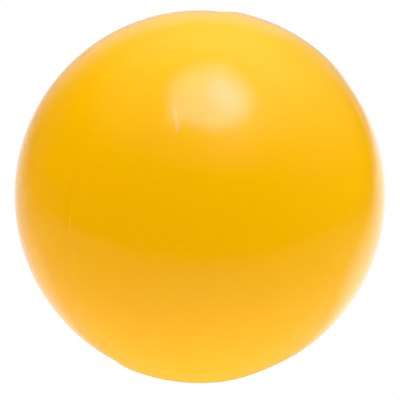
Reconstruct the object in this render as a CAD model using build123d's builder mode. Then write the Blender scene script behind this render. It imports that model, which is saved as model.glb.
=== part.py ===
from build123d import *
import os
from math import cos, sin, sqrt

# An inflatable dodgeball, in millimetres. The origin is the ball's centre, +Z is up as it rests,
# the X axis runs through both poles, the seam of the cover lies in the plane X = 0, and the
# inflating valve is at the -X pole. Every piece but the valve core's slit is round about X.

# Overall size: the diameter over the plain skin, away from the lapped seam
ball_diameter = 216.0

# Layers, from the outside in, with a film of rubber cement between each two
cover_wall = 1.0
winding_wall = 0.5
bladder_wall = 0.6
bond_gap = 0.2

# Lapped seam: the back cup's lip runs on under the front cup, lengths measured along the skin
lip_reach = 52.0
lip_taper = 15.0
edge_round = 0.8
edge_drop = 0.25

# Valve housing: a flanged rubber tube behind the skin
neck_diameter = 9.0
neck_clearance = 0.2
neck_recess = 0.3
neck_round = 0.4
hole_round = 0.3
flange_diameter = 30.0
flange_wall = 1.2
flange_round = 0.4
tube_diameter = 11.0
tube_length = 14.0
tube_round = 0.6

# Patch that bonds the housing's flange to the bladder from inside
patch_diameter = 46.0
patch_wall = 0.8
patch_round = 0.25

# Valve core: a self-sealing plug with a needle channel, closed by a slit behind it
core_clearance = 0.06
head_diameter = 6.8
head_height = 2.0
head_round = 0.3
seat_gap = 0.1
shank_diameter = 5.4
nose_diameter = 3.2
nose_length = 4.0
nose_reach = 2.5
needle_diameter = 2.1
needle_depth = 8.0
funnel_diameter = 3.0
funnel_depth = 0.4
slit_width = 0.2
slit_height = 2.8

# Radii of the layers
skin_radius = ball_diameter / 2
cover_inner = skin_radius - cover_wall
winding_outer = cover_inner - bond_gap
winding_inner = winding_outer - winding_wall
bladder_outer = winding_inner - bond_gap
bladder_inner = bladder_outer - bladder_wall
flange_outer = bladder_inner - bond_gap
flange_inner = flange_outer - flange_wall
patch_outer = flange_inner - bond_gap
patch_inner = patch_outer - patch_wall

# The lip's taper ends at this share of the ramp that brings the front cup down to the winding
tip_share = 0.58
lap_rise = cover_wall + bond_gap
ramp_start = lip_reach - lip_taper
ramp_length = lip_taper / tip_share

# Places along the valve's axis, as distances from the ball's centre
neck_face = skin_radius - neck_recess
seat_face = neck_face - head_height - seat_gap
tube_end = flange_inner - tube_length
nose_end = tube_end - nose_reach
nose_start = nose_end + nose_length
needle_start = neck_face - funnel_depth
needle_end = needle_start - needle_depth

# Radii about the valve's axis
neck_radius = neck_diameter / 2
hole_radius = neck_radius + neck_clearance
flange_radius = flange_diameter / 2
tube_radius = tube_diameter / 2
head_radius = head_diameter / 2
shank_radius = shank_diameter / 2
needle_radius = needle_diameter / 2

os.makedirs("parts", exist_ok=True)


def skin_point(radius, length):
    # Half-section point at a radius, a length along the skin from the seam to the front pole
    angle = length / skin_radius
    return (radius * sin(angle), radius * cos(angle))


def skin_direction(length):
    # Direction along the skin there, away from the seam
    angle = length / skin_radius
    return (cos(angle), -sin(angle))


def ramp_points(foot_radius, share, steps=4):
    # Points down the ramp past the lip, from its top to a share of its length
    points = []
    for step in range(steps + 1):
        along = share * step / steps
        rise = lap_rise * (1 - 3 * along**2 + 2 * along**3)
        points.append(skin_point(foot_radius + rise, ramp_start + along * ramp_length))
    return points


def valve_point(distance, radius):
    # Half-section point at a distance from the ball's centre along the valve's axis
    return (-distance, radius)


def sphere_point(sphere_radius, radius):
    # Half-section point of a sphere about the centre, on the valve side
    return valve_point(sqrt(sphere_radius**2 - radius**2), radius)


def sphere_arc(start, end, sphere_radius):
    # Arc about the ball's centre between two points of the half-section
    middle = (Vector(start) + Vector(end)).normalized() * sphere_radius
    return ThreePointArc(start, middle, end)


def round_corner(section, corner, radius):
    # Round one corner of a half-section that is being sketched
    fillet(section.vertices().sort_by_distance(corner)[0], radius)


ramp_ends = [skin_direction(ramp_start), skin_direction(ramp_start + ramp_length)]

# Front cup: plain half, raised over the back cup's lip, with a rounded free edge at the seam
with BuildPart() as cover_front:
    with BuildSketch(Plane.XY):
        with BuildLine():
            outer_ramp = ramp_points(skin_radius, 1)
            inner_ramp = ramp_points(cover_inner, 1)
            shoulder = skin_point(skin_radius + lap_rise, edge_round)
            edge_top = skin_point(skin_radius + lap_rise - edge_drop, 0)
            edge_foot = skin_point(skin_radius + bond_gap, 0)
            sphere_arc((skin_radius, 0), outer_ramp[-1], skin_radius)
            Spline(*outer_ramp, tangents=ramp_ends)
            sphere_arc(outer_ramp[0], shoulder, skin_radius + lap_rise)
            TangentArc(shoulder, edge_top, tangent=-Vector(skin_direction(edge_round)))
            Line(edge_top, edge_foot)
            sphere_arc(edge_foot, inner_ramp[0], skin_radius + bond_gap)
            Spline(*inner_ramp, tangents=ramp_ends)
            sphere_arc(inner_ramp[-1], (cover_inner, 0), cover_inner)
            Line((cover_inner, 0), (skin_radius, 0))
        make_face()
    revolve(axis=Axis.X)
cover_front.part.label = "cover_front"
export_step(cover_front.part, "parts/cover_front.step")

# Back cup: the valve half, with a tapered lip that runs on past the seam under the front cup
with BuildPart() as cover_back:
    with BuildSketch(Plane.XY) as back_section:
        with BuildLine():
            lip_taper_points = ramp_points(cover_inner - bond_gap, tip_share)
            lip_foot = skin_point(cover_inner, lip_reach)
            hole_rim = sphere_point(skin_radius, hole_radius)
            hole_foot = sphere_point(cover_inner, hole_radius)
            sphere_arc(hole_rim, lip_taper_points[0], skin_radius)
            Spline(*lip_taper_points)
            Line(lip_taper_points[-1], lip_foot)
            sphere_arc(lip_foot, hole_foot, cover_inner)
            Line(hole_foot, hole_rim)
        make_face()
        round_corner(back_section, hole_rim, hole_round)
    revolve(axis=Axis.X)
cover_back.part.label = "cover_back"
export_step(cover_back.part, "parts/cover_back.step")


def round_layer(outer_radius, inner_radius):
    # Whole round layer with a hole for the valve's neck
    with BuildPart() as layer:
        with BuildSketch(Plane.XY):
            with BuildLine():
                outer_hole = sphere_point(outer_radius, hole_radius)
                inner_hole = sphere_point(inner_radius, hole_radius)
                sphere_arc(outer_hole, (outer_radius, 0), outer_radius)
                Line((outer_radius, 0), (inner_radius, 0))
                sphere_arc((inner_radius, 0), inner_hole, inner_radius)
                Line(inner_hole, outer_hole)
            make_face()
        revolve(axis=Axis.X)
    return layer.part


# Winding: nylon yarn wound round the bladder in every direction, which keeps the ball round
winding = round_layer(winding_outer, winding_inner)
winding.label = "winding"
export_step(winding, "parts/winding.step")

# Bladder: the airtight rubber bag
bladder = round_layer(bladder_outer, bladder_inner)
bladder.label = "bladder"
export_step(bladder, "parts/bladder.step")

# Valve housing: neck through the layers, flange against the bladder, tube into the ball
with BuildPart() as valve_housing:
    with BuildSketch(Plane.XY) as housing_section:
        with BuildLine():
            neck_rim = valve_point(neck_face, neck_radius)
            neck_root = sphere_point(flange_outer, neck_radius)
            flange_rim = sphere_point(flange_outer, flange_radius)
            flange_under = sphere_point(flange_inner, flange_radius)
            tube_root = sphere_point(flange_inner, tube_radius)
            tube_rim = valve_point(tube_end, tube_radius)
            bore_radius = shank_radius + core_clearance
            head_bore_radius = head_radius + core_clearance
            Line(neck_rim, neck_root)
            sphere_arc(neck_root, flange_rim, flange_outer)
            Line(flange_rim, flange_under)
            sphere_arc(flange_under, tube_root, flange_inner)
            Polyline(
                tube_root,
                tube_rim,
                valve_point(tube_end, bore_radius),
                valve_point(seat_face, bore_radius),
                valve_point(seat_face, head_bore_radius),
                valve_point(neck_face, head_bore_radius),
                neck_rim,
            )
        make_face()
        round_corner(housing_section, neck_rim, neck_round)
        round_corner(housing_section, flange_rim, flange_round)
        round_corner(housing_section, flange_under, flange_round)
        round_corner(housing_section, tube_rim, tube_round)
    revolve(axis=Axis.X)
valve_housing.part.label = "valve_housing"
export_step(valve_housing.part, "parts/valve_housing.step")

# Valve patch: a rubber ring over the flange, with a skirt bonded to the bladder round it
with BuildPart() as valve_patch:
    with BuildSketch(Plane.XY) as patch_section:
        with BuildLine():
            patch_hole_radius = tube_radius + bond_gap
            step_radius = flange_radius + bond_gap
            skirt_radius = step_radius + flange_wall + patch_wall
            patch_radius = patch_diameter / 2
            skirt_outer = flange_outer
            skirt_inner = flange_outer - patch_wall
            top_hole = sphere_point(patch_outer, patch_hole_radius)
            top_step = sphere_point(patch_outer, step_radius)
            skirt_top = sphere_point(skirt_outer, step_radius)
            skirt_rim = sphere_point(skirt_outer, patch_radius)
            skirt_under = sphere_point(skirt_inner, patch_radius)
            skirt_foot = sphere_point(skirt_inner, skirt_radius)
            under_step = sphere_point(patch_inner, step_radius + patch_wall)
            under_hole = sphere_point(patch_inner, patch_hole_radius)
            sphere_arc(top_hole, top_step, patch_outer)
            Line(top_step, skirt_top)
            sphere_arc(skirt_top, skirt_rim, skirt_outer)
            Line(skirt_rim, skirt_under)
            sphere_arc(skirt_under, skirt_foot, skirt_inner)
            Line(skirt_foot, under_step)
            sphere_arc(under_step, under_hole, patch_inner)
            Line(under_hole, top_hole)
        make_face()
        round_corner(patch_section, skirt_under, patch_round)
        round_corner(patch_section, under_step, patch_round)
        round_corner(patch_section, under_hole, patch_round)
    revolve(axis=Axis.X)
valve_patch.part.label = "valve_patch"
export_step(valve_patch.part, "parts/valve_patch.step")

# Valve core: head in the neck, shank in the tube, nose squeezed shut by the ball's own air
with BuildPart() as valve_core:
    with BuildSketch(Plane.XY) as core_section:
        with BuildLine():
            head_under = neck_face - head_height
            head_rim = valve_point(neck_face, head_radius)
            Polyline(
                valve_point(neck_face, funnel_diameter / 2),
                valve_point(needle_start, needle_radius),
                valve_point(needle_end, needle_radius),
                valve_point(needle_end, 0),
                valve_point(nose_end, 0),
                valve_point(nose_end, nose_diameter / 2),
                valve_point(nose_start, shank_radius),
                valve_point(head_under, shank_radius),
                valve_point(head_under, head_radius),
                head_rim,
                close=True,
            )
        make_face()
        round_corner(core_section, head_rim, head_round)
    revolve(axis=Axis.X)
    with BuildSketch(Plane.XY):
        with Locations(valve_point((needle_end + nose_end) / 2, 0)):
            Rectangle(needle_end - nose_end, slit_width)
    extrude(amount=slit_height / 2, both=True, mode=Mode.SUBTRACT)
valve_core.part.label = "valve_core"
export_step(valve_core.part, "parts/valve_core.step")
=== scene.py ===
import math
import bmesh
import bpy
from mathutils import Matrix, Vector, noise


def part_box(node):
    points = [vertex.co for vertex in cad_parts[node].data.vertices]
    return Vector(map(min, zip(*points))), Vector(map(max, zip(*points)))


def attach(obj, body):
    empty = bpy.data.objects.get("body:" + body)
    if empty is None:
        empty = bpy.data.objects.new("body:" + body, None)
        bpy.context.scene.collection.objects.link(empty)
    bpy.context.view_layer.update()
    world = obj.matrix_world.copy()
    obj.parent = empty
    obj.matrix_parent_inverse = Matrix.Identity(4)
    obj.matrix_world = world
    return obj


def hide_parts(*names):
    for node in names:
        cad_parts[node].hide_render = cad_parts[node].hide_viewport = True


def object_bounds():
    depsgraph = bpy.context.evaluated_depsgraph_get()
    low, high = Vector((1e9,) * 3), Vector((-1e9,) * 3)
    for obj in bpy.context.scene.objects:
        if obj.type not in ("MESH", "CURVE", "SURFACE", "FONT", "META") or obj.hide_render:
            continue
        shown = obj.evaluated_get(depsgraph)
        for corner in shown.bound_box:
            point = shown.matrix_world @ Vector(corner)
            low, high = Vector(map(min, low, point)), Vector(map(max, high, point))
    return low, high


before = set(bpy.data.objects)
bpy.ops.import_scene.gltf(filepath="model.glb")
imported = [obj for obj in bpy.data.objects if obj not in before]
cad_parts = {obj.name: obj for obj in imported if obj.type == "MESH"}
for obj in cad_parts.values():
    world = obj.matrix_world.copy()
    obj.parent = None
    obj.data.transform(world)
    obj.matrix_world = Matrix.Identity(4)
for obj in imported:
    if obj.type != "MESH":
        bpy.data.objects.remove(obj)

cadLow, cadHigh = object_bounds()   # the CAD box, before anything is added
scene = bpy.context.scene

# The two cups of the cover share these sizes, in metres
coverSet = {
    "skinRadius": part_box("cover_front")[1].x,   # plain skin, at the front pole
    "wall": 0.0010,
    "bondGap": 0.0002,         # cement between the cups where they lap
    "rampStart": 0.037,        # along the skin from the seam: the lap ends and the front cup comes down
    "rampLength": 0.0259,
    "swell": 0.00016,          # slow unevenness of the inflated skin
    "swellSize": 0.055,
    "valveHole": 0.0047,       # radius of the hole for the valve's neck, in every layer
}
lapRise = coverSet["wall"] + coverSet["bondGap"]
weldDistance = 1e-6            # points nearer than this are one
straightUp = Vector((0, 0, 1))
plainWhite = (1.0, 1.0, 1.0, 1)


# Mesh helpers
def skinPoint(radius, length):   # half section: length along the skin, from the seam to the front pole
    angle = length / coverSet["skinRadius"]
    return Vector((radius * math.sin(angle), 0, radius * math.cos(angle)))


def valvePoint(sphereRadius, radius):   # half section: a sphere about the centre, near the valve's axis
    return Vector((-math.sqrt(sphereRadius**2 - radius**2), 0, radius))


def lapHeight(length):   # how far the front cup is raised over the back cup's lip
    t = min(max((length - coverSet["rampStart"]) / coverSet["rampLength"], 0), 1)
    return lapRise * (1 - 3 * t**2 + 2 * t**3)


def steps(start, end, count):
    return [start + (end - start) * i / count for i in range(count + 1)]


def runOver(stops, counts):   # steps from stop to stop, each stop once
    run = stops[:1]
    for start, end, count in zip(stops, stops[1:], counts):
        run += tuple(steps(start, end, count)[1:])
    return run


def spinRing(bm, points, axis, count, closed):   # one profile turned full circle about the ball's centre
    verts = [bm.verts.new(p) for p in points]
    edges = [bm.edges.new(pair) for pair in zip(verts, verts[1:])]
    if closed:
        edges.append(bm.edges.new((verts[-1], verts[0])))
    bmesh.ops.spin(bm, geom=verts + edges, cent=(0, 0, 0), axis=axis, angle=2 * math.pi,
                   steps=count, use_merge=True, use_duplicate=False)


def closeSkin(bm):
    bmesh.ops.remove_doubles(bm, verts=bm.verts, dist=weldDistance)
    bmesh.ops.recalc_face_normals(bm, faces=bm.faces)


def swellSkin(bm):   # an inflated skin is never quite round
    for v in bm.verts:
        way = v.co.normalized()
        v.co += way * coverSet["swell"] * noise.noise(v.co / coverSet["swellSize"])


def makePiece(bm, name, material, sharpAngle=40):
    for face in bm.faces:
        face.smooth = True
    for edge in bm.edges:
        if len(edge.link_faces) == 2 and edge.calc_face_angle() > math.radians(sharpAngle):
            edge.smooth = False
    mesh = bpy.data.meshes.new(name)
    bm.to_mesh(mesh)
    bm.free()
    piece = bpy.data.objects.new(name, mesh)
    scene.collection.objects.link(piece)
    mesh.materials.append(material)
    return piece


def standFor(piece, node, body):   # the piece takes the place of a CAD node
    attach(piece, body)
    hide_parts(node)


# Node helpers
def addNode(tree, kind, x, y, **values):
    node = tree.nodes.new(kind)
    node.location = (x, y)
    for key, value in values.items():
        setattr(node, key, value)
    return node


def setInputs(node, **values):
    for key, value in values.items():
        node.inputs[key.replace("_", " ")].default_value = value


def addMath(tree, operation, x, y, first, second):   # each of the two is a socket or a number
    node = addNode(tree, "ShaderNodeMath", x, y, operation=operation)
    for slot, value in zip(node.inputs, (first, second)):
        if isinstance(value, (int, float)):
            slot.default_value = value
        else:
            tree.links.new(value, slot)
    return node.outputs["Value"]


def addRamp(tree, x, y, value, start, end, low, high):   # smooth change of a value between two limits
    node = addNode(tree, "ShaderNodeMapRange", x, y, interpolation_type="SMOOTHSTEP")
    setInputs(node, From_Min=start, From_Max=end, To_Min=low, To_Max=high)
    tree.links.new(value, node.inputs["Value"])
    return node.outputs["Result"]


def addDot(tree, x, y, vector, way):
    node = addNode(tree, "ShaderNodeVectorMath", x, y, operation="DOT_PRODUCT")
    node.inputs[1].default_value = way
    tree.links.new(vector, node.inputs[0])
    return node.outputs["Value"]


def addLength(tree, x, y, first, second):   # length of the vector that has these two parts
    flat = addNode(tree, "ShaderNodeCombineXYZ", x, y)
    tree.links.new(first, flat.inputs["X"])
    tree.links.new(second, flat.inputs["Y"])
    node = addNode(tree, "ShaderNodeVectorMath", x + 100, y, operation="LENGTH")
    tree.links.new(flat.outputs["Vector"], node.inputs[0])
    return node.outputs["Value"]


def addOval(tree, x, y, aside, ahead, middle, half, edge, level):   # soft-edged oval patch of light
    across, along = (addMath(tree, "SUBTRACT", x, y, value, start)
                     for value, start in zip((aside, ahead), middle))
    across = addMath(tree, "DIVIDE", x + 150, y, across, half[0])
    along = addMath(tree, "DIVIDE", x + 150, y - 150, along, half[1])
    return addRamp(tree, x + 600, y, addLength(tree, x + 300, y, across, along), *edge, level, 0)


def addTint(tree, x, y, mask, base, tint):   # colour moved towards a tint where the mask is up
    node = addNode(tree, "ShaderNodeMix", x, y, data_type="RGBA")
    for slot, value in zip(("A", "B"), (base, tint)):
        socket = next(s for s in node.inputs if s.name == slot and s.type == "RGBA")
        if isinstance(value, tuple):
            socket.default_value = value
        else:
            tree.links.new(value, socket)
    tree.links.new(mask, node.inputs["Factor"])
    return next(s for s in node.outputs if s.type == "RGBA")


def newGroup(name, inputs, outputs):
    group = bpy.data.node_groups.new(name, "ShaderNodeTree")
    for label, kind, value in inputs:
        socket = group.interface.new_socket(label, in_out="INPUT", socket_type=kind)
        if value is not None:
            socket.default_value = value
    for label in outputs:
        group.interface.new_socket(label, in_out="OUTPUT", socket_type="NodeSocketFloat")
    source = addNode(group, "NodeGroupInput", -1100, 0)
    return group, source, addNode(group, "NodeGroupOutput", 800, 0)


def placeGroup(tree, group, x, y, vector, **values):
    node = addNode(tree, "ShaderNodeGroup", x, y, node_tree=group)
    setInputs(node, **values)
    tree.links.new(vector, node.inputs["Vector"])
    return node


def addNoise(tree, x, y, vector, scale, detail=3.0, roughness=0.55):
    node = addNode(tree, "ShaderNodeTexNoise", x, y)
    setInputs(node, Detail=detail, Roughness=roughness)
    tree.links.new(vector, node.inputs["Vector"])
    tree.links.new(scale, node.inputs["Scale"])
    return node.outputs["Fac"]


def newMaterial(name):
    material = bpy.data.materials.new(name)
    material.use_nodes = True
    tree = material.node_tree
    tree.nodes.clear()
    shader = addNode(tree, "ShaderNodeBsdfPrincipled", 900, 0)
    output = addNode(tree, "ShaderNodeOutputMaterial", 1200, 0)
    coords = addNode(tree, "ShaderNodeTexCoord", -1500, 0)
    tree.links.new(shader.outputs["BSDF"], output.inputs["Surface"])
    return material, tree, shader, coords.outputs["Object"]


def addBump(tree, shader, height, strength, depth):
    bump = addNode(tree, "ShaderNodeBump", 600, -400)
    setInputs(bump, Strength=strength, Distance=depth)
    tree.links.new(height, bump.inputs["Height"])
    tree.links.new(bump.outputs["Normal"], shader.inputs["Normal"])


# Limits of the noise that breaks up each effect: from, to, and the values there
grainSet = {
    "mottleNoise": (4.0, 0.6),              # detail and roughness
    "mottleSpan": (0.3, 0.7),
    "scuffBreak": (0.3, 0.6, 0.5, 1.0),
    "talcClouds": (0.35, 0.75, 0.2, 1.0),
    "talcSpecks": (0.4, 0.65, 0.3, 1.0),
}


# Moulded rubber: a fine orange peel over a slow mottle, for every rubber on the ball and for its yarn
def makeRubberGrain():
    group, source, sink = newGroup(
        "rubberGrain",
        [("Vector", "NodeSocketVector", None), ("Peel Scale", "NodeSocketFloat", 900.0),
         ("Mottle Scale", "NodeSocketFloat", 30.0), ("Mottle Share", "NodeSocketFloat", 0.3)],
        ["Height", "Mottle"])
    place = source.outputs["Vector"]
    peel = addNoise(group, -500, 200, place, source.outputs["Peel Scale"])
    mottle = addNoise(group, -500, -200, place, source.outputs["Mottle Scale"], *grainSet["mottleNoise"])
    blend = addNode(group, "ShaderNodeMix", 100, 100, data_type="FLOAT")
    group.links.new(source.outputs["Mottle Share"], blend.inputs["Factor"])
    group.links.new(peel, blend.inputs["A"])
    group.links.new(mottle, blend.inputs["B"])
    group.links.new(blend.outputs["Result"], sink.inputs["Height"])
    group.links.new(mottle, sink.inputs["Mottle"])
    return group


# Streak along a straight run on the skin, broken up by noise: it draws the worn scuffs, and also the painted
# glints and painted shade along the seam
def makeScuffAndGlintStreak():
    group, source, sink = newGroup(
        "scuffAndGlintStreak",
        [("Vector", "NodeSocketVector", None), ("Start", "NodeSocketVector", (0, 0, 0)),
         ("Run", "NodeSocketVector", (0, 0, 0.01)), ("Width", "NodeSocketFloat", 0.001),
         ("Break Scale", "NodeSocketFloat", 900.0)],
        ["Mask"])
    link = group.links.new
    place, start, run = (source.outputs[label] for label in ("Vector", "Start", "Run"))
    offset = addNode(group, "ShaderNodeVectorMath", -900, 200, operation="SUBTRACT")
    ahead = addNode(group, "ShaderNodeVectorMath", -700, 300, operation="DOT_PRODUCT")
    whole = addNode(group, "ShaderNodeVectorMath", -700, 100, operation="DOT_PRODUCT")
    foot = addNode(group, "ShaderNodeVectorMath", -150, 200, operation="SCALE")
    gap = addNode(group, "ShaderNodeVectorMath", 50, 100, operation="DISTANCE")
    link(place, offset.inputs[0])
    link(start, offset.inputs[1])
    link(offset.outputs["Vector"], ahead.inputs[0])
    link(run, ahead.inputs[1])
    link(run, whole.inputs[0])
    link(run, whole.inputs[1])
    share = addMath(group, "DIVIDE", -500, 200, ahead.outputs["Value"], whole.outputs["Value"])
    share = addMath(group, "MAXIMUM", -400, 200, share, 0.0)
    share = addMath(group, "MINIMUM", -300, 200, share, 1.0)
    link(run, foot.inputs[0])
    link(share, foot.inputs["Scale"])
    link(offset.outputs["Vector"], gap.inputs[0])
    link(foot.outputs["Vector"], gap.inputs[1])
    spread = addMath(group, "DIVIDE", 250, 100, gap.outputs["Value"], source.outputs["Width"])
    core = addRamp(group, 400, 100, spread, 0.0, 1.0, 1.0, 0.0)
    flecks = addNoise(group, 200, -150, place, source.outputs["Break Scale"])
    broken = addRamp(group, 400, -150, flecks, *grainSet["scuffBreak"])
    link(addMath(group, "MULTIPLY", 600, 0, core, broken), sink.inputs["Mask"])
    return group


# Talc: the dust that keeps the inner rubber from sticking
def makeTalcDust():
    group, source, sink = newGroup(
        "talcDust",
        [("Vector", "NodeSocketVector", None), ("Cloud Scale", "NodeSocketFloat", 40.0),
         ("Speck Scale", "NodeSocketFloat", 1500.0), ("Amount", "NodeSocketFloat", 0.3)],
        ["Mask"])
    place = source.outputs["Vector"]
    clouds = addNoise(group, -500, 200, place, source.outputs["Cloud Scale"])
    specks = addNoise(group, -500, -200, place, source.outputs["Speck Scale"])
    clouds = addRamp(group, -200, 200, clouds, *grainSet["talcClouds"])
    specks = addRamp(group, -200, -200, specks, *grainSet["talcSpecks"])
    dust = addMath(group, "MULTIPLY", 100, 0, clouds, specks)
    dust = addMath(group, "MULTIPLY", 300, 0, dust, source.outputs["Amount"])
    group.links.new(dust, sink.inputs["Mask"])
    return group


rubberGrain = makeRubberGrain()
scuffAndGlintStreak = makeScuffAndGlintStreak()
talcDust = makeTalcDust()

# Yellow satin rubber of the cover
coverFinish = {
    "deepYellow": (0.926, 0.449, 0.000, 1),
    "lightYellow": (0.980, 0.482, 0.001, 1),
    "scuffPale": (0.980, 0.640, 0.300, 1),
    # The next two colours are painted light along the seam: a pale yellow for painted glints and a brown for
    # painted shade
    "glintYellow": (1.000, 0.600, 0.030, 1),
    "seamShadeBrown": (0.420, 0.170, 0.010, 1),
    "roughness": (0.11, 0.14),
    "scuffRoughness": 0.25,    # added where the skin is scuffed
    "specular": 0.5,
    "peelScale": 700.0,
    "mottleScale": 22.0,
    "mottleShare": 0.25,
    "bumpStrength": 0.05,
    "bumpDepth": 0.0004,
    "scuffs": (                # start, end, half width, strength
        ((0.0402, -0.0653, 0.0776), (0.0471, -0.0703, 0.0683), 0.0019, 0.50),
        ((0.0501, -0.0614, 0.0741), (0.0531, -0.0622, 0.0709), 0.0016, 0.15),
    ),
    # These rows paint glints along the front cup's free edge in pale yellow, and one patch of painted shade
    # in brown just beside the brightest glint
    "seamGlintsAndShade": (             # first and last degree round the seam from the top, distance from it,
        (29.2, 30.2, 0.0005, 0.0009, 0.95, "glintYellow"),   # half width, strength, tint
        (30.6, 33.0, 0.0005, 0.0010, 0.25, "glintYellow"),
        (49.0, 50.2, 0.0005, 0.0009, 0.20, "glintYellow"),
        (74.0, 76.0, 0.0005, 0.0009, 0.30, "glintYellow"),
        (77.2, 78.8, 0.0005, 0.0009, 0.22, "glintYellow"),
        (80.4, 84.4, 0.0005, 0.0010, 0.45, "glintYellow"),
        (85.2, 87.0, 0.0005, 0.0009, 0.22, "glintYellow"),
        (81.4, 83.4, 0.0026, 0.0016, 0.09, "seamShadeBrown"),
    ),
}


def seamPoint(degree, beside):   # on the front cup's raised edge
    turn, radius = math.radians(degree), coverSet["skinRadius"] + lapRise
    return Vector((beside, -radius * math.sin(turn), radius * math.cos(turn)))


def makeCoverRubber():
    finish = coverFinish
    material, tree, shader, place = newMaterial("coverRubber")
    grain = placeGroup(tree, rubberGrain, -1200, 0, place, Peel_Scale=finish["peelScale"],
                       Mottle_Scale=finish["mottleScale"], Mottle_Share=finish["mottleShare"])
    mottle = grain.outputs["Mottle"]
    colour = addTint(tree, -800, 300, mottle, finish["deepYellow"], finish["lightYellow"])
    rough = addRamp(tree, -800, -100, mottle, 0.0, 1.0, *finish["roughness"])
    marks = [(Vector(start), Vector(end), width, strength, "scuffPale")
             for start, end, width, strength in finish["scuffs"]]
    # Painted glints and painted shade along the seam, drawn with the same streak as the scuffs
    for first, last, beside, width, strength, tint in finish["seamGlintsAndShade"]:
        marks.append((seamPoint(first, beside), seamPoint(last, beside), width, strength, tint))
    for start, end, width, strength, tint in marks:
        streak = placeGroup(tree, scuffAndGlintStreak, -600, 600, place, Start=start, Run=end - start, Width=width)
        markAmount = addMath(tree, "MULTIPLY", -300, 500, streak.outputs["Mask"], strength)
        colour = addTint(tree, -100, 300, markAmount, colour, finish[tint])
        dull = addMath(tree, "MULTIPLY", -200, -200, markAmount, finish["scuffRoughness"])
        rough = addMath(tree, "ADD", -100, -100, rough, dull)
    tree.links.new(colour, shader.inputs["Base Color"])
    tree.links.new(rough, shader.inputs["Roughness"])
    addBump(tree, shader, grain.outputs["Height"], finish["bumpStrength"], finish["bumpDepth"])
    shader.inputs["Specular IOR Level"].default_value = finish["specular"]
    return material


coverRubber = makeCoverRubber()

# Front cup: the plain half that the photograph shows, raised over the lip, with an eased free edge
frontSet = {
    "edgeRound": 0.0004,
    "edgeDrop": 0.0001,
    "edgeBand": 0.006,         # finer mesh beside the seam
    "innerStart": 0.001,       # the inside begins this far from the seam
    "spinSteps": 360,
    "outerSteps": (46, 14, 12, 12),   # crown, ramp, lap and edge band
    "edgeSteps": 5,
    "innerSteps": (8, 10, 24),        # lap, ramp and crown
}


def makeCoverFront():
    radius, wall = coverSet["skinRadius"], coverSet["wall"]
    rampStart, band = coverSet["rampStart"], frontSet["edgeBand"]
    rampEnd = rampStart + coverSet["rampLength"]
    pole = radius * math.pi / 2
    reach, drop = frontSet["edgeRound"], frontSet["edgeDrop"]
    edgeRadius = (reach**2 + drop**2) / (2 * drop)
    outer = runOver((pole, rampEnd, rampStart, band, reach), frontSet["outerSteps"])
    points = [skinPoint(radius + lapHeight(length), length) for length in outer]
    for down in steps(0, reach, frontSet["edgeSteps"])[1:]:   # arc that eases the free edge
        fall = edgeRadius - math.sqrt(edgeRadius**2 - down**2)
        points.append(skinPoint(radius + lapRise - fall, reach - down))
    points.append(skinPoint(radius + coverSet["bondGap"], 0))
    inner = runOver((frontSet["innerStart"], rampStart, rampEnd, pole), frontSet["innerSteps"])
    points += [skinPoint(radius - wall + lapHeight(length), length) for length in inner]
    bm = bmesh.new()
    spinRing(bm, points, (1, 0, 0), frontSet["spinSteps"], closed=False)
    closeSkin(bm)
    swellSkin(bm)
    return makePiece(bm, "coverFrontSkin", coverRubber)


standFor(makeCoverFront(), "cover_front", "ball")
print("front cup made")

# Back cup: the valve half, whose lip runs on under the front cup
backSet = {
    "lipReach": 0.052,
    "holeRound": 0.0003,
    "spinSteps": 240,
    "rimSteps": 5,
    "outerSteps": (60, 12),    # open skin, and lip under the lap
    "taperSteps": 6,
    "innerSteps": 40,
}


def makeCoverBack():
    radius, wall, hole = (coverSet[key] for key in ("skinRadius", "wall", "valveHole"))
    rampStart, lipReach, rounding = coverSet["rampStart"], backSet["lipReach"], backSet["holeRound"]
    rim = valvePoint(radius, hole + rounding)
    points = []
    for turn in steps(0, math.pi / 2, backSet["rimSteps"])[:-1]:   # rounded rim of the valve's hole
        inward = rounding * (1 - math.sin(turn))
        points.append(rim + Vector((inward, 0, -rounding * math.cos(turn))))
    holeLength = -radius * math.acos((hole + rounding) / radius)
    outer = runOver((holeLength, 0, rampStart), backSet["outerSteps"])
    points += [skinPoint(radius, length) for length in outer]
    taper = steps(rampStart, lipReach, backSet["taperSteps"])[1:]
    points += [skinPoint(radius - lapRise + lapHeight(length), length) for length in taper]
    holeFoot = -radius * math.acos(hole / (radius - wall))
    inner = steps(lipReach, holeFoot, backSet["innerSteps"])
    points += [skinPoint(radius - wall, length) for length in inner]
    bm = bmesh.new()
    spinRing(bm, points, (1, 0, 0), backSet["spinSteps"], closed=True)
    closeSkin(bm)
    swellSkin(bm)
    return makePiece(bm, "coverBackSkin", coverRubber)


standFor(makeCoverBack(), "cover_back", "ball")
print("back cup made")

# Winding: nylon yarn laid over the bladder in great circles that lean every way
windingSet = {
    "outerRadius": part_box("winding")[1].x,
    "bedDepth": (0.0005, 0.00025),   # below the outer radius: the close inner turns, drawn as one shell
    "strands": 110,
    "strandWidth": 0.0014,
    "strandSteps": 90,
    "bedSteps": 60,
    "valveKeep": 0.06,               # no strand crosses the valve's hole
    "yarnDeep": (0.560, 0.530, 0.440, 1),
    "yarnLight": (0.830, 0.810, 0.740, 1),
    "roughness": (0.75, 0.95),
    "fibreScale": 2600.0,
    "shadeScale": 45.0,
    "fibreShare": 0.2,
    "bumpStrength": 0.5,
    "bumpDepth": 0.0002,
}


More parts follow.
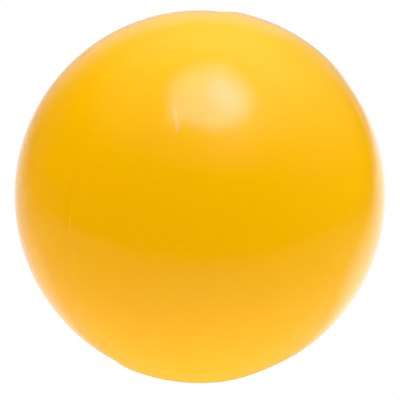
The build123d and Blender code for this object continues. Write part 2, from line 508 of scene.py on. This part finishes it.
def makeYarn():
    finish = windingSet
    material, tree, shader, place = newMaterial("nylonYarn")
    fibre = placeGroup(tree, rubberGrain, -1200, 0, place, Peel_Scale=finish["fibreScale"],
                       Mottle_Scale=finish["shadeScale"], Mottle_Share=finish["fibreShare"])
    colour = addTint(tree, -400, 300, fibre.outputs["Height"], finish["yarnDeep"], finish["yarnLight"])
    shade = fibre.outputs["Mottle"]
    rough = addRamp(tree, -400, -100, shade, *grainSet["mottleSpan"], *finish["roughness"])
    tree.links.new(colour, shader.inputs["Base Color"])
    tree.links.new(rough, shader.inputs["Roughness"])
    addBump(tree, shader, fibre.outputs["Height"], finish["bumpStrength"], finish["bumpDepth"])
    return material


def strandAxis(index):   # axes spread evenly over a half sphere
    golden = math.pi * (3 - math.sqrt(5))
    height = (index + 0.5) / windingSet["strands"]
    across = math.sqrt(1 - height**2)
    return Vector((across * math.cos(golden * index), across * math.sin(golden * index), height))


def makeStrand():   # flattened yarn, once round the ball about Z
    outer, half = windingSet["outerRadius"], windingSet["strandWidth"] / 2
    bedTop = outer - windingSet["bedDepth"][1]
    bm = bmesh.new()
    points = [Vector((bedTop, 0, half)), Vector((outer, 0, 0)), Vector((bedTop, 0, -half))]
    spinRing(bm, points, (0, 0, 1), windingSet["strandSteps"], closed=True)
    strand = bpy.data.meshes.new("yarnStrand")
    bm.to_mesh(strand)
    bm.free()
    return strand


def makeWinding():
    outer, hole = windingSet["outerRadius"], coverSet["valveHole"]
    deep, top = (outer - depth for depth in windingSet["bedDepth"])
    points = []
    for radius, start, end in ((top, 0, 1), (deep, 1, 0)):
        angle = math.pi - math.asin(hole / radius)
        points += [Vector((radius * math.cos(angle * t), 0, radius * math.sin(angle * t)))
                   for t in steps(start, end, windingSet["bedSteps"])]
    bm = bmesh.new()
    spinRing(bm, points, (1, 0, 0), windingSet["strandSteps"], closed=False)
    strand = makeStrand()
    for index in range(windingSet["strands"]):
        axis = strandAxis(index)
        if abs(axis.x) > windingSet["valveKeep"]:
            turned = strand.copy()
            turned.transform(straightUp.rotation_difference(axis).to_matrix().to_4x4())
            bm.from_mesh(turned)
            bpy.data.meshes.remove(turned)
    bpy.data.meshes.remove(strand)
    closeSkin(bm)
    return makePiece(bm, "yarnWinding", makeYarn())


standFor(makeWinding(), "winding", "ball")
print("winding made")

# Dark rubbers of the bladder and the valve, on the CAD solids themselves
rubberFinish = {
    "bladder": {"deep": (0.016, 0.016, 0.018, 1), "light": (0.034, 0.034, 0.037, 1),
                "roughness": (0.38, 0.55),
                "peelScale": 260.0, "mottleScale": 35.0, "bump": 0.12, "talc": 0.45},
    "valve_patch": {"deep": (0.020, 0.019, 0.018, 1), "light": (0.040, 0.038, 0.036, 1),
                    "roughness": (0.45, 0.62),
                    "peelScale": 420.0, "mottleScale": 60.0, "bump": 0.12, "talc": 0.40},
    "valve_housing": {"deep": (0.022, 0.022, 0.022, 1), "light": (0.050, 0.049, 0.047, 1),
                      "roughness": (0.42, 0.60),
                      "peelScale": 900.0, "mottleScale": 150.0, "bump": 0.10, "talc": 0.22},
    "valve_core": {"deep": (0.012, 0.012, 0.014, 1), "light": (0.028, 0.028, 0.031, 1),
                   "roughness": (0.28, 0.42),
                   "peelScale": 1200.0, "mottleScale": 220.0, "bump": 0.08, "talc": 0.12},
}
talcSet = {"colour": (0.62, 0.61, 0.58, 1), "roughness": 0.35, "bumpDepth": 0.0003, "specksPerPeel": 2}


def makeDarkRubber(name, finish):
    material, tree, shader, place = newMaterial(name + "Rubber")
    grain = placeGroup(tree, rubberGrain, -1200, 0, place, Peel_Scale=finish["peelScale"],
                       Mottle_Scale=finish["mottleScale"])
    dust = placeGroup(tree, talcDust, -1200, 400, place, Cloud_Scale=finish["mottleScale"],
                      Speck_Scale=finish["peelScale"] * talcSet["specksPerPeel"],
                      Amount=finish["talc"]).outputs["Mask"]
    mottle = grain.outputs["Mottle"]
    colour = addTint(tree, -400, 300, mottle, finish["deep"], finish["light"])
    colour = addTint(tree, 0, 300, dust, colour, talcSet["colour"])
    rough = addRamp(tree, -400, -100, mottle, *grainSet["mottleSpan"], *finish["roughness"])
    dull = addMath(tree, "MULTIPLY", -200, -200, dust, talcSet["roughness"])
    rough = addMath(tree, "ADD", 0, -100, rough, dull)
    tree.links.new(colour, shader.inputs["Base Color"])
    tree.links.new(rough, shader.inputs["Roughness"])
    addBump(tree, shader, grain.outputs["Height"], finish["bump"], talcSet["bumpDepth"])
    return material


for node, finish in rubberFinish.items():
    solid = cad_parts[node]
    rubber = makeDarkRubber(node, finish)
    for place in solid.material_slots:
        place.material = rubber
print("bladder and valve finished")

# Photograph's view: the seam's ellipse gives these angles
cameraSet = {"azimuth": 42.0, "elevation": 20.0, "distance": 1.512, "lens": 232.9, "sensorWidth": 36.0,
             "aimDrop": 0.00253}


def viewAxes(azimuth, elevation):
    a, e = math.radians(azimuth), math.radians(elevation)
    back = Vector((math.sin(a) * math.cos(e), -math.cos(a) * math.cos(e), math.sin(e)))
    right = Vector((math.cos(a), math.sin(a), 0))
    return right, back.cross(right), back


def placeFacing(thing, axes, place):   # local Z points along the last axis
    thing.matrix_world = Matrix.Translation(place) @ Matrix(axes).transposed().to_4x4()


def makeCamera():
    right, up, back = viewAxes(cameraSet["azimuth"], cameraSet["elevation"])
    data = bpy.data.cameras.new("photoCamera")
    data.lens = cameraSet["lens"]
    data.sensor_width = cameraSet["sensorWidth"]
    camera = bpy.data.objects.new("photoCamera", data)
    scene.collection.objects.link(camera)
    placeFacing(camera, (right, up, back), back * cameraSet["distance"] - up * cameraSet["aimDrop"])
    scene.camera = camera


makeCamera()
towardRight, _, towardCamera = viewAxes(cameraSet["azimuth"], 0)

# White table that glows: shade is painted under the ball and light is painted behind it, and it is plain
# white wherever the camera looks at it
tableSet = {
    "size": 30.0,
    "gap": 0.0002,
    "contactShade": (0.004, 0.135),       # reach from the ball's foot where the painted shade under it ends
    "bounce": (0.85, 0.47, 0.06, 1),      # painted bounce light in the ball's colour, in that painted shade
    "glows": (                            # middle, half size, soft edge, level
        ((-0.08, 0.03), (0.83, 0.56), (0.40, 0.95), 0.315),
        ((0, 0), (0.28, 0.46), (0.10, 1.0), 0.27),
        ((1.40, 0.25), (1.00, 0.70), (0.30, 1.0), 0.06),
    ),
    "beamStart": 0.40,                    # the light behind widens from this place in front of the ball
    "beamFront": (-0.03, 0.06),           # and starts here, towards the camera
    "beamLeft": (-1.00, 0.10, 0.10, 1.13),   # shares of its width, to the right, and levels there
    "beamRight": (0.40, 0.81, 1.00, 0.04),
    "farReach": (0.55, 1.35),             # between these reaches it falls
    "farLevel": (-0.40, 0.40, 0.64, 0.36),   # to these levels, again by shares of its width
}


def makeTable():
    bm = bmesh.new()
    bmesh.ops.create_grid(bm, x_segments=1, y_segments=1, size=tableSet["size"] / 2)
    bmesh.ops.translate(bm, verts=bm.verts, vec=(0, 0, cadLow[2] - tableSet["gap"]))
    material = bpy.data.materials.new("whiteTable")
    material.use_nodes = True
    tree = material.node_tree
    tree.nodes.clear()
    output = addNode(tree, "ShaderNodeOutputMaterial", 900, 0)
    paper = addNode(tree, "ShaderNodeEmission", 600, 0)
    place = addNode(tree, "ShaderNodeTexCoord", -1400, 0).outputs["Object"]
    path = addNode(tree, "ShaderNodeLightPath", 0, 300)
    ahead = addDot(tree, -1200, 100, place, towardCamera)
    aside = addDot(tree, -1200, -200, place, towardRight)
    reach = addLength(tree, -1000, 300, aside, ahead)
    disc = 0.0
    for glow in tableSet["glows"]:
        disc = addMath(tree, "ADD", -300, 700, addOval(tree, -1000, 700, aside, ahead, *glow), disc)
    width = addMath(tree, "SUBTRACT", -1000, -100, tableSet["beamStart"], ahead)
    width = addMath(tree, "MAXIMUM", -900, -100, width, tableSet["gap"])
    share = addMath(tree, "DIVIDE", -800, -200, aside, width)
    beam = addRamp(tree, -600, 0, ahead, *tableSet["beamFront"], 1, 0)
    for side in ("beamLeft", "beamRight"):
        beam = addMath(tree, "MULTIPLY", -300, 0, beam, addRamp(tree, -600, -200, share, *tableSet[side]))
    loss = addMath(tree, "SUBTRACT", -400, -500, 1.0, addRamp(tree, -600, -500, share, *tableSet["farLevel"]))
    far = addRamp(tree, -600, -700, reach, *tableSet["farReach"], 0, 1)
    loss = addMath(tree, "MULTIPLY", -300, -500, loss, far)
    beam = addMath(tree, "MULTIPLY", -200, 0, beam, addMath(tree, "SUBTRACT", -200, -300, 1.0, loss))
    level = addMath(tree, "MAXIMUM", 0, 0, disc, beam)
    clear = addRamp(tree, -600, 500, reach, *tableSet["contactShade"], 0, 1)
    colour = addTint(tree, 200, 0, clear, tableSet["bounce"], level)
    colour = addTint(tree, 400, 0, path.outputs["Is Camera Ray"], colour, plainWhite)
    tree.links.new(colour, paper.inputs["Color"])
    tree.links.new(paper.outputs["Emission"], output.inputs["Surface"])
    table = makePiece(bm, "whiteTable", material)
    table.visible_shadow = False
    table.visible_diffuse = False


makeTable()

# Soft light that shades the ball: a softbox overhead, and wide fills all round
frontDrop = 0.4                # the front fill comes from a little below
towardFront = (towardCamera - straightUp * frontDrop).normalized()
lampSet = {
    "softbox": {"turn": 18.0, "elevation": 77.0, "distance": 1.29, "diameter": 0.83, "glow": 4.4,
                "tint": (0.94, 1.0, 1.0)},
    "fillSpread": 120.0,
    "fills": {                 # where each comes from, power, tint
        "fillAbove": (straightUp, 1.86, (0.89, 1.0, 1.0)),
        "fillBelow": (-straightUp, 4.02, (0.96, 1.0, 1.0)),
        "fillRight": (towardRight, 1.84, (0.95, 1.0, 1.0)),
        "fillLeft": (-towardRight, 1.55, (1.0, 0.93, 1.0)),
        "fillFront": (towardFront, 0.50, (1.0, 0.72, 1.0)),
        "fillBehind": (-towardCamera, 1.60, (1.0, 0.97, 1.0)),
    },
}


def addLamp(name, kind):   # shades the ball and leaves no reflection
    data = bpy.data.lights.new(name, kind)
    data.cycles.use_multiple_importance_sampling = False
    lamp = bpy.data.objects.new(name, data)
    scene.collection.objects.link(lamp)
    lamp.visible_camera = False
    lamp.visible_glossy = False
    return lamp, data


def makeLamps():
    box = lampSet["softbox"]
    lamp, data = addLamp("softbox", "AREA")
    data.shape = "DISK"
    data.size = box["diameter"]
    data.energy = box["glow"] * math.pi * math.pi * box["diameter"]**2 / 4   # watts for that glow
    data.color = box["tint"]
    axes = viewAxes(cameraSet["azimuth"] + box["turn"], box["elevation"])
    placeFacing(lamp, axes, axes[2] * box["distance"])
    for name, (way, power, tint) in lampSet["fills"].items():
        lamp, data = addLamp(name, "SUN")
        data.angle = math.radians(lampSet["fillSpread"])
        data.energy = power
        data.color = tint
        lamp.rotation_euler = way.to_track_quat("Z", "Y").to_euler()


# Room that the skin reflects
roomSet = {
    "softbox": {               # on a ceiling one unit up: middle, half size, soft edge, level, tint
        "cloth": ((0.125, 0.14), (0.42, 0.44), (0.78, 1.22), 2.10, (1.0, 0.72, 1.0, 1)),
        "nearCloth": ((0.125, 0.23), (0.42, 0.37), (0.60, 1.22), 1.35, (1.0, 0.72, 1.0, 1)),
        "corner": ((-0.24, 0.42), (0.16, 0.16), (0.30, 1.30), 0.90, (1.0, 0.72, 1.0, 1)),
        "lamp": ((0.28, 0.13), (0.11, 0.19), (0.20, 1.70), 3.70, (1.0, 0.35, 1.0, 1)),
        "halo": ((0.40, 0.40), (0.50, 0.50), (0.20, 1.30), 0.60, (1.0, 0.90, 1.0, 1)),
        "spill": ((0.75, 1.05), (0.90, 0.35), (0.20, 1.30), 0.17, (1.0, 1.0, 1.0, 1)),
    },
    "spots": {                 # turn, elevation, outer and inner half angle, level
        "backdrop": (183, 0, 39, 4, 0.56),
        "farLeft": (229, 8, 20, 4, 0.055),
    },
    "rises": {                 # foot and top elevation, level, and its lean to the right and to the front
        "ceiling": (27, 62, 0.42, 0.16, -0.14),
        "rightWall": (-8, 60, 0.00, 0.44, -0.54),
    },
    "lowest": 0.05,            # height of a direction below which the ceiling is not looked up
}


def makeRoom():
    world = bpy.data.worlds.new("studio")
    scene.world = world
    world.use_nodes = True
    world.cycles_visibility.diffuse = False
    tree = world.node_tree
    tree.nodes.clear()
    output = addNode(tree, "ShaderNodeOutputWorld", 900, 0)
    shine = addNode(tree, "ShaderNodeBackground", 700, 0)
    way = addNode(tree, "ShaderNodeTexCoord", -1200, 0).outputs["Generated"]
    path = addNode(tree, "ShaderNodeLightPath", 200, 300)
    height = addDot(tree, -900, -100, way, straightUp)
    level = path.outputs["Is Camera Ray"]
    for foot, top, glow, leanRight, leanFront in roomSet["rises"].values():
        low, high = (math.sin(math.radians(angle)) for angle in (foot, top))
        rise = addRamp(tree, -600, 0, height, low, high, 0, 1)
        lean = addDot(tree, -900, -450, way, towardRight * leanRight + towardCamera * leanFront)
        lean = addMath(tree, "ADD", -600, -450, lean, glow)
        lean = addMath(tree, "MAXIMUM", -400, -450, lean, 0.0)
        level = addMath(tree, "ADD", -50, -200, level, addMath(tree, "MULTIPLY", -200, -200, rise, lean))
    for turn, elevation, outer, inner, glow in roomSet["spots"].values():
        middle = viewAxes(cameraSet["azimuth"] + turn, elevation)[2]
        outer, inner = (math.cos(math.radians(angle)) for angle in (outer, inner))
        spot = addRamp(tree, -600, 300, addDot(tree, -900, 300, way, middle), outer, inner, 0, glow)
        level = addMath(tree, "ADD", -50, 0, level, spot)
    above = addMath(tree, "MAXIMUM", -800, 600, height, roomSet["lowest"])
    ahead = addMath(tree, "DIVIDE", -700, 600, addDot(tree, -900, 600, way, towardCamera), above)
    aside = addMath(tree, "DIVIDE", -700, 500, addDot(tree, -900, 500, way, towardRight), above)
    colour = plainWhite
    for *oval, tint in roomSet["softbox"].values():
        patch = addOval(tree, -600, 500, aside, ahead, *oval)
        level = addMath(tree, "ADD", 200, 0, level, patch)
        colour = addTint(tree, 450, 200, addMath(tree, "DIVIDE", 300, 300, patch, level), colour, tint)
    tree.links.new(colour, shine.inputs["Color"])
    tree.links.new(level, shine.inputs["Strength"])
    tree.links.new(shine.outputs["Background"], output.inputs["Surface"])


makeLamps()
makeRoom()
scene.view_settings.view_transform = "Standard"
print("camera, table and light set")
